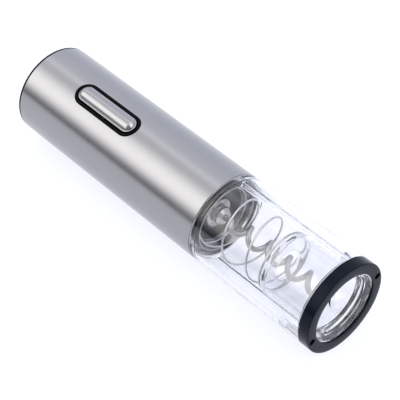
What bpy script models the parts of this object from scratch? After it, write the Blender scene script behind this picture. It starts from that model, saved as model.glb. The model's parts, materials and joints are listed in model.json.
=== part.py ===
"""A cordless wine opener that lies on its side, in metres, +X towards the bottle opening, +Z up.

Sizes along the opener are stations from its back end, and sizes across are radii from its axis.
Every piece is drawn with its axis on X, and an empty lifts and rolls the whole opener into place.
"""

from math import asin, atan2, cos, pi, radians, sin, sqrt

import bmesh
import bpy
from mathutils import Matrix, Vector

MM = 0.001

# Driving dimensions
LENGTH = 205 * MM
TUBE_RADIUS = 24 * MM
ROLL = radians(16.8)  # how far the button leans from the top towards -Y
SIDES = 48  # sides of the casing's round shapes
INNER_SIDES = 32  # sides of the larger round shapes inside it
GAP = 0.3 * MM  # running and fitting gap between pieces

CAP_THICKNESS = 1.0 * MM
CAP_FLOOR = 2.2 * MM  # front face of the cap's closed end
CAP_SKIRT_END = 6.0 * MM
CAP_SKIRT_INNER = 20.8 * MM
CAP_SKIRT_OUTER = 22.7 * MM
COIN_SLOT_LENGTH = 18 * MM
COIN_SLOT_WIDTH = 2.4 * MM
COIN_SLOT_DEPTH = 0.8 * MM
TUBE_START = 1.3 * MM
TUBE_END = 128.3 * MM
TUBE_WALL = 0.8 * MM
HOUSING_END = 199.2 * MM
HOUSING_WALL = 2.0 * MM
SPIGOT_START = 120.6 * MM  # of the housing's narrower end, which sits in the tube
SPIGOT_INNER = 21.2 * MM
SPIGOT_END = 130.8 * MM
RING_START = 199.5 * MM
OPENING_RADIUS = 18.2 * MM
RING_LIP = 0.9 * MM  # thickness of the ring's lip, behind which the cup's nose rests
RING_SOCKET = 19.0 * MM
SCREW_RADIUS = 21.4 * MM  # the ring screws' distance from the axis
SCREW_BORE = 1.1 * MM
SCREW_SHANK = 0.75 * MM
SCREW_HEAD = 1.4 * MM
SCREW_WELL = 1.75 * MM
SCREW_WELL_DEPTH = 4.2 * MM
RAIL_ANGLE = radians(53.7)  # from the left screw towards the button's side
RAIL_INNER = 19.2 * MM
RAIL_WIDTH = 1.6 * MM
PILLAR_START = 186.5 * MM
PILLAR_RADIUS = 2.3 * MM
PILLAR_BORE_DEPTH = 11 * MM

BUTTON_START = 30.0 * MM
BUTTON_END = 73.2 * MM
BUTTON_WIDTH = 12.5 * MM
BEZEL_RIM = 1.6 * MM
BEZEL_UNDERSIDE = 18.9 * MM
BEZEL_PROUD = 0.15 * MM  # how far the bezel stands out of the tube
SLOT_CUT = (15 * MM, 30 * MM)  # heights that pass right through the tube's wall and the bezel
ROCKER_PIN_RADIUS = 0.8 * MM
ROCKER_PIN_LENGTH = 12.2 * MM
PIN_HOLE_RADIUS = ROCKER_PIN_RADIUS + GAP
ROCKER_PIVOT_HEIGHT = 20.6 * MM
ROCKER_TOP = TUBE_RADIUS + 2.7 * MM
ROCKER_SHOULDER = TUBE_RADIUS + 0.35 * MM  # height of the flat round the crown
ROCKER_DOME = 4.8 * MM
ROCKER_DOME_EDGE = 3.7 * MM  # half the crown's width
ROCKER_UNDERSIDE = 21.6 * MM
SWITCH_OFFSET = 14 * MM  # from the rocker's pivot to each tact switch
RIB_WIDTH = 3 * MM
BOARD_LOW = 16.7 * MM
BOARD_HIGH = 17.9 * MM
BOARD_WIDTH = 11 * MM
SWITCH_SIZE = 6 * MM
SWITCH_HEIGHT = 1.6 * MM
PLUNGER_RADIUS = 1.3 * MM
PLUNGER_LOW = 1.2 * MM  # heights above the switch's underside
PLUNGER_HIGH = 2.2 * MM

CELL_RADIUS = 7.2 * MM
CELL_START = 6.3 * MM
CELL_LENGTH = 50.5 * MM
CELL_OFFSET = 8.0 * MM  # from the axis, along both cross directions
CELL_NUB_RADIUS = 2.7 * MM
CELL_NUB_LENGTH = 1.4 * MM
CELL_EDGE = 0.5 * MM
BARREL_RADIUS = 20.2 * MM
BARREL_FLAT = 16.3 * MM  # height of the flat under the switch board
BARREL_START = 7.2 * MM
BARREL_END = 56.4 * MM
CONTACT_INNER = 4.5 * MM  # the contact strips' reach from the middle lines
CONTACT_OUTER = 12 * MM

MOTOR_START = 63.0 * MM
MOTOR_END = 98.3 * MM
MOTOR_RADIUS = 13.85 * MM
SHAFT_RADIUS = 1.15 * MM
CAN_START = 66.0 * MM
CAN_WALL = 0.9 * MM
MAGNET_INNER = 8.4 * MM
MAGNET_SPAN = radians(124)
POLE_RADIUS = 7.4 * MM
TERMINAL_START = 61.0 * MM
TERMINAL_INNER = 8.5 * MM
TERMINAL_OUTER = 9.1 * MM
LEAD_RADIUS = 0.6 * MM
MOTOR_SCREW_OFFSET = 8 * MM
MOTOR_PLATE_THICKNESS = 1.5 * MM
CORE_RADIUS = 17.7 * MM  # of the motor plate and the gearbox housing

GEAR_MODULE = 0.8 * MM
SUN_TEETH = 12
RING_TEETH = 36
STAGE_PITCH = 6.5 * MM
STAGE_START = 101.0 * MM
PLANET_WIDTH = 4.2 * MM
CARRIER_RADIUS = 13.2 * MM
CARRIER_THICKNESS = 1.6 * MM
PLANET_PIN_RADIUS = 1.4 * MM
OUTPUT_SHAFT_RADIUS = 3.6 * MM
GEARBOX_START = 100.4 * MM
GEARBOX_END = 120.9 * MM
COVER_START = 121.2 * MM
COVER_END = 123.2 * MM
COVER_RADIUS = 20.8 * MM
BUSHING_RADIUS = 5.5 * MM
BUSHING_FLANGE = 7.7 * MM
FRAME_START = 79.0 * MM
FRAME_END = 120.3 * MM
FRAME_INNER = 20.9 * MM
FRAME_OUTER = 22.8 * MM
FRAME_RIB_WIDTH = 1.6 * MM
MOTOR_RIB_REACH = 14.2 * MM  # inner radii of the ribs round the motor and the gearbox
GEARBOX_RIB_REACH = 18.1 * MM

WORM_RADIUS = 3.7 * MM
WORM_WIRE = 1.35 * MM
WORM_PITCH = 12.8 * MM
WORM_START = 127.2 * MM
WORM_SHANK_END = 129.9 * MM  # up to here the wire is straight and on the axis
WORM_FULL = 137.0 * MM  # from here on the coil has its full radius
WORM_TIP = 200.6 * MM
WORM_START_ANGLE = radians(-68)
SHAFT_FRONT = 126.4 * MM  # where the output shaft ends
HUB_START = 124.5 * MM
HUB_END = 128.8 * MM
HUB_RADIUS = 4.9 * MM
HUB_TAPER = 1.6 * MM
SHAFT_BORE = OUTPUT_SHAFT_RADIUS + GAP  # of the bushing and the hub

SPRING_RADIUS = 15.5 * MM
SPRING_WIRE = 0.5 * MM
SPRING_START = 125.9 * MM
SPRING_DEAD_PITCH = 1.3 * MM
SEAT_START = 123.6 * MM
SEAT_END = 129.8 * MM
SEAT_RADIUS = 17.8 * MM
SEAT_WALL = 0.9 * MM
SEAT_FLANGE = 20.9 * MM
SEAT_FLANGE_THICKNESS = 1.0 * MM
SEAT_SHELF_THICKNESS = 1.3 * MM
SEAT_FLARE = 2.6 * MM  # length of the rim's inner flare
SEAT_SHELF = 14.4 * MM  # inner radius of the shelf that the spring stands on
SPRING_FREE_TURNS = 2.5
SPRING_START_ANGLE = radians(163)
CUP_START = 168.5 * MM
CUP_END = 199.0 * MM
CUP_RADIUS = 16.8 * MM
CUP_BORE = 15.0 * MM
CUP_HOLE = 8.0 * MM  # in its bottom, for the worm
CUP_BOTTOM = 1.8 * MM
CUP_FLANGE = 20.9 * MM
CUP_FLANGE_THICKNESS = 2.0 * MM
CUP_NOTCH_HALF = 2.9 * MM  # half the width of the notch that passes a pillar
NOSE_RADIUS = 18.7 * MM
NOSE_END = LENGTH - RING_LIP - GAP
NOSE_STEPS = 3
NOSE_STEP_LENGTH = 0.9 * MM
NOSE_STEP_WIDTH = 0.65 * MM
NOSE_TREAD_LENGTH = 0.3 * MM  # how far each step's face leans along the axis
FAR_OUT = 25 * MM  # past the outside of the opener

AXIS_HEIGHT = TUBE_RADIUS * cos(pi / SIDES)
TURN_TO_X = Matrix.Rotation(pi / 2, 3, "Y")
TURN_TO_Y = Matrix.Rotation(-pi / 2, 3, "X")

BLACK_PLASTIC = ("black_plastic", (0.015, 0.016, 0.02), 0.35, 0.0)
GLOSS_BLACK = ("gloss_black", (0.01, 0.01, 0.012), 0.12, 0.0)
CLEAR_PLASTIC = ("clear_plastic", (0.85, 0.88, 0.95), 0.05, 0.0)
BRUSHED_STEEL = ("brushed_steel", (0.56, 0.56, 0.58), 0.32, 1.0)
SATIN_SILVER = ("satin_silver", (0.66, 0.65, 0.66), 0.25, 1.0)
CHROME = ("chrome", (0.75, 0.75, 0.78), 0.08, 1.0)
SPRING_STEEL = ("spring_steel", (0.62, 0.62, 0.62), 0.2, 1.0)
ZINC_STEEL = ("zinc_steel", (0.5, 0.5, 0.48), 0.4, 1.0)
BRASS = ("brass", (0.7, 0.5, 0.2), 0.3, 1.0)
COPPER = ("copper", (0.6, 0.28, 0.14), 0.35, 1.0)
FERRITE = ("ferrite", (0.06, 0.06, 0.065), 0.6, 0.0)
GREEN_BOARD = ("green_board", (0.02, 0.18, 0.07), 0.4, 0.0)
WHITE_GEAR = ("white_gear", (0.8, 0.79, 0.74), 0.45, 0.0)
CELL_WRAP = ("cell_wrap", (0.05, 0.09, 0.25), 0.35, 0.1)
RED_LEAD = ("red_lead", (0.5, 0.02, 0.02), 0.5, 0.0)
BLACK_LEAD = ("black_lead", (0.02, 0.02, 0.02), 0.5, 0.0)


def clear_scene():
    for old in list(bpy.data.objects):
        bpy.data.objects.remove(old, do_unlink=True)


def opener_axis():
    """The empty that lifts the axis above the surface and rolls the button off the top."""
    empty = bpy.data.objects.new("opener_axis", None)
    empty.location = (-LENGTH / 2, 0, AXIS_HEIGHT)
    empty.rotation_euler = (ROLL, 0, 0)
    bpy.context.collection.objects.link(empty)
    return empty


clear_scene()
AXIS = opener_axis()


def material(look):
    name, colour, roughness, metallic = look
    found = bpy.data.materials.get(name)
    if found:
        return found
    made = bpy.data.materials.new(name)
    made.use_nodes = True
    shader = made.node_tree.nodes["Principled BSDF"]
    shader.inputs["Base Color"].default_value = (*colour, 1)
    shader.inputs["Roughness"].default_value = roughness
    shader.inputs["Metallic"].default_value = metallic
    return made


def add_object(name, bm, look, at=(0, 0, 0), smooth=True):
    """A bmesh drawn around the point at, made an object whose origin is there."""
    bmesh.ops.recalc_face_normals(bm, faces=bm.faces)
    mesh = bpy.data.meshes.new(name)
    bm.to_mesh(mesh)
    bm.free()
    made = bpy.data.objects.new(name, mesh)
    mesh.materials.append(material(look))
    if smooth:
        mesh.shade_smooth()
        mesh.set_sharp_from_angle(angle=radians(30))
    bpy.context.collection.objects.link(made)
    made.parent = AXIS
    made.location = at
    return made


def cutter(name, bm, at=(0, 0, 0)):
    made = add_object(name, bm, BLACK_PLASTIC, at, smooth=False)
    made.hide_render = True
    made.display_type = "WIRE"
    return made


def combine(target, tool, operation):
    step = target.modifiers.new(tool.name, "BOOLEAN")
    step.object = tool
    step.operation = operation
    step.solver = "EXACT"


def cut(target, tool):
    combine(target, tool, "DIFFERENCE")


def join(target, tool):
    combine(target, tool, "UNION")


def keep_inside(target, tool):
    combine(target, tool, "INTERSECT")


def turned(profile, sides=SIDES):
    """A closed profile of (station, radius) points spun round the X axis.

    Its first corner is turned so that a flat side of the whole opener faces straight down.
    """
    bm = bmesh.new()
    start = pi / sides - ROLL
    points = [bm.verts.new((x, r * cos(start), r * sin(start))) for x, r in profile]
    edges = [bm.edges.new((a, b)) for a, b in zip(points, points[1:] + points[:1])]
    bmesh.ops.spin(
        bm,
        geom=points + edges,
        cent=(0, 0, 0),
        axis=(1, 0, 0),
        angle=2 * pi,
        steps=sides,
        use_merge=True,
    )
    bmesh.ops.remove_doubles(bm, verts=bm.verts, dist=1e-7)
    axis_edges = [e for e in bm.edges if not e.link_faces]
    bmesh.ops.delete(bm, geom=axis_edges, context="EDGES")
    return bm


def half_turned(profile, first, last):
    """A closed profile spun from the first angle to the last and closed at both."""
    bm = bmesh.new()
    points = [bm.verts.new((x, r * cos(first), r * sin(first))) for x, r in profile]
    edges = [bm.edges.new((a, b)) for a, b in zip(points, points[1:] + points[:1])]
    bmesh.ops.spin(
        bm,
        geom=points + edges,
        cent=(0, 0, 0),
        axis=(1, 0, 0),
        angle=last - first,
        steps=SIDES // 4,
    )
    bmesh.ops.holes_fill(bm, edges=[e for e in bm.edges if e.is_boundary])
    return bm


def drum(start, end, radius, sides=SIDES):
    """A solid round bar along X."""
    return turned([(start, 0), (start, radius), (end, radius), (end, 0)], sides)


def tube(start, end, inner, outer, sides=SIDES):
    return turned([(start, inner), (start, outer), (end, outer), (end, inner)], sides)


def plate(loops, start, end):
    """Outlines of (y, z) points, the outer one and then its holes, extruded along X."""
    bm = bmesh.new()
    edges = []
    for loop in loops:
        points = [bm.verts.new((start, y, z)) for y, z in loop]
        edges += [bm.edges.new((a, b)) for a, b in zip(points, points[1:] + points[:1])]
    bmesh.ops.triangle_fill(bm, use_beauty=True, edges=edges)
    grown = bmesh.ops.extrude_face_region(bm, geom=bm.faces[:])
    moved = [v for v in grown["geom"] if isinstance(v, bmesh.types.BMVert)]
    bmesh.ops.translate(bm, verts=moved, vec=(end - start, 0, 0))
    return bm


def slab(outline, low, high):
    """An outline of (x, y) points extruded along Z."""
    bm = bmesh.new()
    face = bm.faces.new([bm.verts.new((x, y, low)) for x, y in outline])
    grown = bmesh.ops.extrude_face_region(bm, geom=[face])
    moved = [v for v in grown["geom"] if isinstance(v, bmesh.types.BMVert)]
    bmesh.ops.translate(bm, verts=moved, vec=(0, 0, high - low))
    return bm


def box(low, high):
    return slab(
        [(low[0], low[1]), (high[0], low[1]), (high[0], high[1]), (low[0], high[1])],
        low[2],
        high[2],
    )


def circle(radius, sides, centre=(0, 0), start=0.0):
    steps = [start + 2 * pi * i / sides for i in range(sides)]
    return [(centre[0] + radius * cos(a), centre[1] + radius * sin(a)) for a in steps]


def arc(radius, first, last, steps, centre=(0, 0)):
    angles = [first + (last - first) * i / steps for i in range(steps + 1)]
    return [(centre[0] + radius * cos(a), centre[1] + radius * sin(a)) for a in angles]


def obround(start, end, width, steps=10):
    """A long outline with round ends, from start to end along X."""
    r = width / 2
    right = arc(r, -pi / 2, pi / 2, steps, (end - r, 0))
    left = arc(r, pi / 2, 3 * pi / 2, steps, (start + r, 0))
    return right + left


def tooth_ring(teeth, root, tip, root_share, tip_share, phase=0.0):
    """A gear outline: each tooth is four points, its shares being of the tooth pitch."""
    outline = []
    for tooth in range(teeth):
        middle = phase + 2 * pi * tooth / teeth
        for radius, share in (
            (root, -root_share),
            (tip, -tip_share),
            (tip, tip_share),
            (root, root_share),
        ):
            angle = middle + share * pi / teeth
            outline.append((radius * cos(angle), radius * sin(angle)))
    return outline


def swept_wire(points, radius, sides=6, tip=False):
    """A round wire through the points, its ends closed, the last one sharp where tip is set."""
    bm = bmesh.new()
    rings = []
    side = Vector((0, 1, 0))
    for i, here in enumerate(points):
        before = points[max(i - 1, 0)]
        after = points[min(i + 1, len(points) - 1)]
        along = (after - before).normalized()
        side = (side - along * side.dot(along)).normalized()
        other = along.cross(side)
        size = radius
        if tip:
            size = radius * min(1.0, 0.08 + (len(points) - 1 - i) / 7)
        turns = [2 * pi * k / sides for k in range(sides)]
        rings.append(
            [bm.verts.new(here + (side * cos(a) + other * sin(a)) * size) for a in turns]
        )
    for a, b in zip(rings, rings[1:]):
        for k in range(sides):
            n = (k + 1) % sides
            bm.faces.new((a[k], a[n], b[n], b[k]))
    bm.faces.new(rings[0][::-1])
    bm.faces.new(rings[-1])
    return bm


# Casing


def make_steel_tube():
    inner = TUBE_RADIUS - TUBE_WALL
    made = add_object(
        "steel_tube", tube(TUBE_START, TUBE_END, inner, TUBE_RADIUS), BRUSHED_STEEL
    )
    outline = obround(BUTTON_START - GAP, BUTTON_END + GAP, BUTTON_WIDTH + 2 * GAP)
    cut(made, cutter("button_slot", slab(outline, *SLOT_CUT)))


def make_battery_cap():
    flange = TUBE_RADIUS - 0.1 * MM
    chamfer = 0.4 * MM
    profile = [
        (0, 0),
        (0, flange - 0.5 * MM),
        (chamfer, flange),
        (CAP_THICKNESS, flange),
        (CAP_THICKNESS, CAP_SKIRT_OUTER),
        (CAP_SKIRT_END, CAP_SKIRT_OUTER),
        (CAP_SKIRT_END, CAP_SKIRT_INNER),
        (CAP_FLOOR, CAP_SKIRT_INNER),
        (CAP_FLOOR, 0),
    ]
    made = add_object("battery_cap", turned(profile), BLACK_PLASTIC)
    half = COIN_SLOT_LENGTH / 2
    slot = slab(obround(-half, half, COIN_SLOT_WIDTH, 6), -0.6 * MM, COIN_SLOT_DEPTH)
    bmesh.ops.rotate(slot, verts=slot.verts, cent=(0, 0, 0), matrix=TURN_TO_X)
    cut(made, cutter("coin_slot", slot))


def make_clear_housing():
    outer = TUBE_RADIUS
    inner = TUBE_RADIUS - HOUSING_WALL
    spigot_outer = TUBE_RADIUS - TUBE_WALL - GAP
    seam = TUBE_END + GAP
    shoulder_end = SPIGOT_END + 0.8 * MM
    profile = [
        (SPIGOT_START, SPIGOT_INNER),
        (SPIGOT_START, spigot_outer),
        (seam, spigot_outer),
        (seam, outer),
        (HOUSING_END, outer),
        (HOUSING_END, inner),
        (shoulder_end, inner),
        (SPIGOT_END, SPIGOT_INNER),
    ]
    made = add_object("clear_housing", turned(profile), CLEAR_PLASTIC)
    front = HOUSING_END - GAP
    for side, word in ((1, "left"), (-1, "right")):
        centre = (side * SCREW_RADIUS, 0)
        pillar = plate([circle(PILLAR_RADIUS, 12, centre)], PILLAR_START, front)
        join(made, cutter(f"pillar_{word}", pillar))
        bore = plate([circle(SCREW_BORE, 8, centre)], HOUSING_END - PILLAR_BORE_DEPTH, LENGTH)
        cut(made, cutter(f"pillar_bore_{word}", bore))
        root = inner + 0.6 * MM
        rail = radial_block(shoulder_end + GAP, front, RAIL_INNER, root, RAIL_WIDTH, side)
        join(made, cutter(f"rail_{word}", rail))


def radial_block(start, end, near, far, width, side):
    """A bar along X on one of the two rail angles, which face each other across the axis."""
    block = box((start, near, -width / 2), (end, far, width / 2))
    angle = RAIL_ANGLE if side > 0 else RAIL_ANGLE + pi
    turn = Matrix.Rotation(angle, 3, "X")
    bmesh.ops.rotate(block, verts=block.verts, cent=(0, 0, 0), matrix=turn)
    return block


def make_end_ring():
    lip = LENGTH - RING_LIP
    chamfer = 0.4 * MM
    profile = [
        (RING_START, RING_SOCKET),
        (RING_START, TUBE_RADIUS),
        (LENGTH - chamfer, TUBE_RADIUS),
        (LENGTH, TUBE_RADIUS - chamfer),
        (LENGTH, OPENING_RADIUS + chamfer),
        (LENGTH - chamfer, OPENING_RADIUS),
        (lip, OPENING_RADIUS),
        (lip, RING_SOCKET),
    ]
    made = add_object("end_ring", turned(profile), BLACK_PLASTIC)
    well_floor = LENGTH - SCREW_WELL_DEPTH
    for side, word in ((1, "left"), (-1, "right")):
        centre = (side * SCREW_RADIUS, 0)
        well = plate([circle(SCREW_WELL, 12, centre)], well_floor, LENGTH + MM)
        bore = plate([circle(SCREW_BORE, 8, centre)], RING_START - MM, well_floor + MM)
        cut(made, cutter(f"ring_well_{word}", well))
        cut(made, cutter(f"ring_bore_{word}", bore))


def make_ring_screws():
    tip = HOUSING_END - 9 * MM
    head_back = LENGTH - SCREW_WELL_DEPTH + GAP
    head_front = head_back + 1.5 * MM
    for side, word in ((1, "left"), (-1, "right")):
        profile = [
            (tip, 0),
            (tip + MM, SCREW_SHANK),
            (head_back, SCREW_SHANK),
            (head_back, SCREW_HEAD),
            (head_front - GAP, SCREW_HEAD - 0.15 * MM),
            (head_front, 0),
        ]
        at = (0, side * SCREW_RADIUS, 0)
        made = add_object(f"ring_screw_{word}", turned(profile, 10), ZINC_STEEL, at)
        recess = box((head_front - 0.6 * MM, -MM, -0.2 * MM), (LENGTH, MM, 0.2 * MM))
        cut(made, cutter(f"screw_recess_{word}", recess, at))


# Button


def make_button_bezel():
    outline = obround(BUTTON_START, BUTTON_END, BUTTON_WIDTH)
    body = slab(outline, BEZEL_UNDERSIDE, SLOT_CUT[1])
    made = add_object("button_bezel", body, GLOSS_BLACK)
    rim = BEZEL_RIM
    hole = obround(BUTTON_START + rim, BUTTON_END - rim, BUTTON_WIDTH - 2 * rim)
    cut(made, cutter("bezel_hole", slab(hole, *SLOT_CUT)))
    keep_inside(made, cutter("bezel_limit", drum(0, LENGTH, TUBE_RADIUS + BEZEL_PROUD)))
    cut(made, cutter("bezel_pin_hole", cross_bar(PIN_HOLE_RADIUS, 20 * MM), rocker_pivot()))


def cross_bar(radius, length):
    """A round bar along Y, centred."""
    bar = slab(circle(radius, 10), -length / 2, length / 2)
    bmesh.ops.rotate(bar, verts=bar.verts, cent=(0, 0, 0), matrix=TURN_TO_Y)
    return bar


def rocker_pivot():
    return ((BUTTON_START + BUTTON_END) / 2, 0, ROCKER_PIVOT_HEIGHT)


def domed_bar(reach, profile):
    """A long bar with round ends, given as distances from its middle line and heights."""
    bm = bmesh.new()
    rings = []
    for away, height in profile:
        outline = obround(-reach - away, reach + away, 2 * away)
        rings.append([bm.verts.new((x, y, height)) for x, y in outline])
    count = len(rings[0])
    for ring, following in zip(rings, rings[1:]):
        for k in range(count):
            n = (k + 1) % count
            bm.faces.new((ring[k], ring[n], following[n], following[k]))
    bm.faces.new(rings[0][::-1])
    bm.faces.new(rings[-1])
    return bm


def make_rocker_button():
    """A long button with a domed crown, a lug for the pin and two ribs below."""
    pivot = rocker_pivot()
    edge = BUTTON_WIDTH / 2 - BEZEL_RIM - GAP
    reach = (BUTTON_END - BUTTON_START) / 2 - BEZEL_RIM - 0.4 * MM - edge
    low = ROCKER_UNDERSIDE - pivot[2]
    shoulder = ROCKER_SHOULDER - pivot[2]
    profile = [(edge, low), (edge, shoulder), (ROCKER_DOME_EDGE + 0.05 * MM, shoulder)]
    steepest = asin(ROCKER_DOME_EDGE / ROCKER_DOME)
    top = ROCKER_TOP - pivot[2]
    for share in (1, 0.75, 0.5, 0.25, 0.06):
        away = ROCKER_DOME * sin(steepest * share)
        profile.append((away, top - ROCKER_DOME * (1 - cos(steepest * share))))
    made = add_object("rocker_button", domed_bar(reach, profile), SATIN_SILVER, pivot)
    half_lug = Vector((2.2 * MM, 2.6 * MM, 2.1 * MM))
    join(made, cutter("rocker_lug", box(-half_lug, half_lug), pivot))
    half = RIB_WIDTH / 2
    for side in (1, -1):
        rib = box(
            (side * SWITCH_OFFSET - MM, -half, low - 0.2 * MM),
            (side * SWITCH_OFFSET + MM, half, low + 0.5 * MM),
        )
        join(made, cutter(f"rocker_rib_{side + 1}", rib, pivot))
    cut(made, cutter("rocker_pin_hole", cross_bar(PIN_HOLE_RADIUS, 20 * MM), pivot))


def make_rocker_pin():
    pin = cross_bar(ROCKER_PIN_RADIUS, ROCKER_PIN_LENGTH)
    add_object("rocker_pin", pin, ZINC_STEEL, rocker_pivot())


def make_switches():
    middle = rocker_pivot()[0]
    half = BOARD_WIDTH / 2
    board = box((BUTTON_START - MM, -half, BOARD_LOW), (BUTTON_END + MM, half, BOARD_HIGH))
    add_object("switch_board", board, GREEN_BOARD, smooth=False)
    half = SWITCH_SIZE / 2
    for side, word in ((1, "front"), (-1, "rear")):
        at = (middle + side * SWITCH_OFFSET, 0, BOARD_HIGH + GAP)
        body = box((-half, -half, 0), (half, half, SWITCH_HEIGHT))
        switch = add_object(f"tact_switch_{word}", body, BLACK_PLASTIC, at, False)
        well = slab(circle(PLUNGER_RADIUS + GAP, 12), 0.5 * MM, SWITCH_HEIGHT + MM)
        cut(switch, cutter(f"plunger_well_{word}", well, at))
        plunger = slab(circle(PLUNGER_RADIUS, 12), PLUNGER_LOW, PLUNGER_HIGH)
        add_object(f"tact_plunger_{word}", plunger, SATIN_SILVER, at)


# Batteries


def cell_centres():
    return [
        (y * CELL_OFFSET, z * CELL_OFFSET) for y, z in ((1, 1), (-1, 1), (-1, -1), (1, -1))
    ]


def make_battery_barrel():
    """A round block with four bores, flat under the switch board."""
    flat_end = atan2(BARREL_FLAT, sqrt(BARREL_RADIUS**2 - BARREL_FLAT**2))
    outer = arc(BARREL_RADIUS, pi - flat_end, 2 * pi + flat_end, 24)
    bores = [circle(CELL_RADIUS + GAP, 16, centre) for centre in cell_centres()]
    body = plate([outer, *bores], BARREL_START, BARREL_END)
    add_object("battery_barrel", body, BLACK_PLASTIC)


def make_cells():
    end = CELL_START + CELL_LENGTH
    shoulder = CELL_START + CELL_NUB_LENGTH
    for number, (y, z) in enumerate(cell_centres()):
        body = [
            (CELL_START, 0),
            (CELL_START, CELL_NUB_RADIUS),
            (shoulder, CELL_NUB_RADIUS),
            (shoulder, CELL_RADIUS - CELL_EDGE),
            (shoulder + CELL_EDGE, CELL_RADIUS),
            (end - CELL_EDGE, CELL_RADIUS),
            (end, CELL_RADIUS - CELL_EDGE),
            (end, 0),
        ]
        if number % 2:
            body = [(CELL_START + end - x, r) for x, r in reversed(body)]
        add_object(f"aa_cell_{number + 1}", turned(body, 16), CELL_WRAP, (0, y, z))


def make_front_contacts():
    board_start = BARREL_END + 1.6 * MM
    board = drum(board_start, board_start + 1.4 * MM, BARREL_RADIUS, INNER_SIDES)
    made = add_object("terminal_board", board, GREEN_BOARD)
    flat = box((BARREL_END, -FAR_OUT, BARREL_FLAT), (MOTOR_START, FAR_OUT, FAR_OUT))
    cut(made, cutter("terminal_board_flat", flat))
    high = board_start - GAP
    low = high - 0.5 * MM
    reach = CONTACT_OUTER + 0.5 * MM
    bridge = box((low, -reach, -CONTACT_OUTER), (high, reach, -CONTACT_INNER))
    add_object("front_bridge_contact", bridge, BRASS, smooth=False)
    for side, word in ((1, "positive"), (-1, "negative")):
        near, far = sorted((side * CONTACT_INNER, side * reach))
        tab = box((low, near, CONTACT_INNER), (high, far, CONTACT_OUTER))
        add_object(f"{word}_terminal", tab, BRASS, smooth=False)


def make_cap_contacts():
    """The plate inside the cap, and its two bridges, each on two cone-shaped spring feet."""
    plate_back = CAP_FLOOR + 0.4 * MM
    plate_front = plate_back + 1.2 * MM
    disc = drum(plate_back, plate_front, BARREL_RADIUS, INNER_SIDES)
    add_object("cap_contact_plate", disc, GREEN_BOARD)
    low = 5.5 * MM
    high = 5.9 * MM
    foot_back = plate_front + GAP
    foot_front = low + 0.1 * MM
    foot = [(foot_back, 0), (foot_back, 4 * MM), (foot_front, 2 * MM), (foot_front, 0)]
    for side, word in ((1, "left"), (-1, "right")):
        near, far = sorted((side * CONTACT_INNER, side * CONTACT_OUTER))
        strip = box((low, near, -CONTACT_OUTER), (high, far, CONTACT_OUTER))
        made = add_object(f"cap_bridge_{word}", strip, BRASS, smooth=False)
        for up in (1, -1):
            at = (0, side * CELL_OFFSET, up * CELL_OFFSET)
            join(made, cutter(f"spring_foot_{word}_{up + 1}", turned(foot, 12), at))


# Motor


def make_motor():
    inner = MOTOR_RADIUS - CAN_WALL
    shaft_hole = SHAFT_RADIUS + GAP
    chamfer = 0.8 * MM
    can_floor = MOTOR_END - MM
    can = [
        (CAN_START, inner),
        (CAN_START, MOTOR_RADIUS),
        (MOTOR_END - chamfer, MOTOR_RADIUS),
        (MOTOR_END, MOTOR_RADIUS - chamfer),
        (MOTOR_END, shaft_hole),
        (can_floor, shaft_hole),
        (can_floor, inner),
    ]
    add_object("motor_can", turned(can, 24), ZINC_STEEL)
    boss = 5 * MM
    boss_front = MOTOR_START + 1.2 * MM
    rim = MOTOR_RADIUS - 0.2 * MM
    plug = inner - GAP
    plug_end = MOTOR_START + 5.5 * MM
    plug_inner = inner - 1.5 * MM
    bell_floor = MOTOR_START + 3.2 * MM
    bell = [
        (MOTOR_START, shaft_hole),
        (MOTOR_START, boss),
        (boss_front, boss),
        (boss_front, rim),
        (CAN_START - GAP, rim),
        (CAN_START - GAP, plug),
        (plug_end, plug),
        (plug_end, plug_inner),
        (bell_floor, plug_inner),
        (bell_floor, shaft_hole),
    ]
    join_motor_terminals(add_object("motor_end_bell", turned(bell, 24), BLACK_PLASTIC))
    make_magnets(inner - GAP)
    make_armature()


def make_magnets(outer):
    half = MAGNET_SPAN / 2
    for side, word in ((0, "left"), (pi, "right")):
        outline = arc(outer, side - half, side + half, 12)
        outline += arc(MAGNET_INNER, side + half, side - half, 12)
        bm = plate([outline], MOTOR_START + 9 * MM, MOTOR_END - 4 * MM)
        add_object(f"motor_magnet_{word}", bm, FERRITE)


def make_armature():
    """Three wound poles and a commutator on one shaft, which turns in the can."""
    poles_start = MOTOR_START + 12 * MM
    half = radians(52)
    slot_start = half + radians(2)
    slot_end = 2 * pi / 3 - slot_start
    outline = []
    for pole in range(3):
        middle = 2 * pi * pole / 3
        outline += arc(POLE_RADIUS, middle - half, middle + half, 8)
        outline += arc(3.2 * MM, middle + slot_start, middle + slot_end, 2)
    poles = plate([outline], poles_start, MOTOR_END - 8 * MM)
    made = add_object("motor_armature", poles, COPPER)
    commutator = drum(MOTOR_START + 5 * MM, poles_start + 0.5 * MM, 3 * MM, 12)
    join(made, cutter("commutator", commutator))
    pinion_end = STAGE_START + PLANET_WIDTH
    shaft = drum(MOTOR_START - 1.5 * MM, pinion_end, SHAFT_RADIUS, 12)
    join(made, cutter("armature_shaft", shaft))


def join_motor_terminals(end_bell):
    half = 1.5 * MM
    for side, word in ((1, "left"), (-1, "right")):
        near, far = sorted((side * TERMINAL_INNER, side * TERMINAL_OUTER))
        tab = box((TERMINAL_START, near, -half), (MOTOR_START + half, far, half))
        join(end_bell, cutter(f"motor_terminal_{word}", tab))


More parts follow.
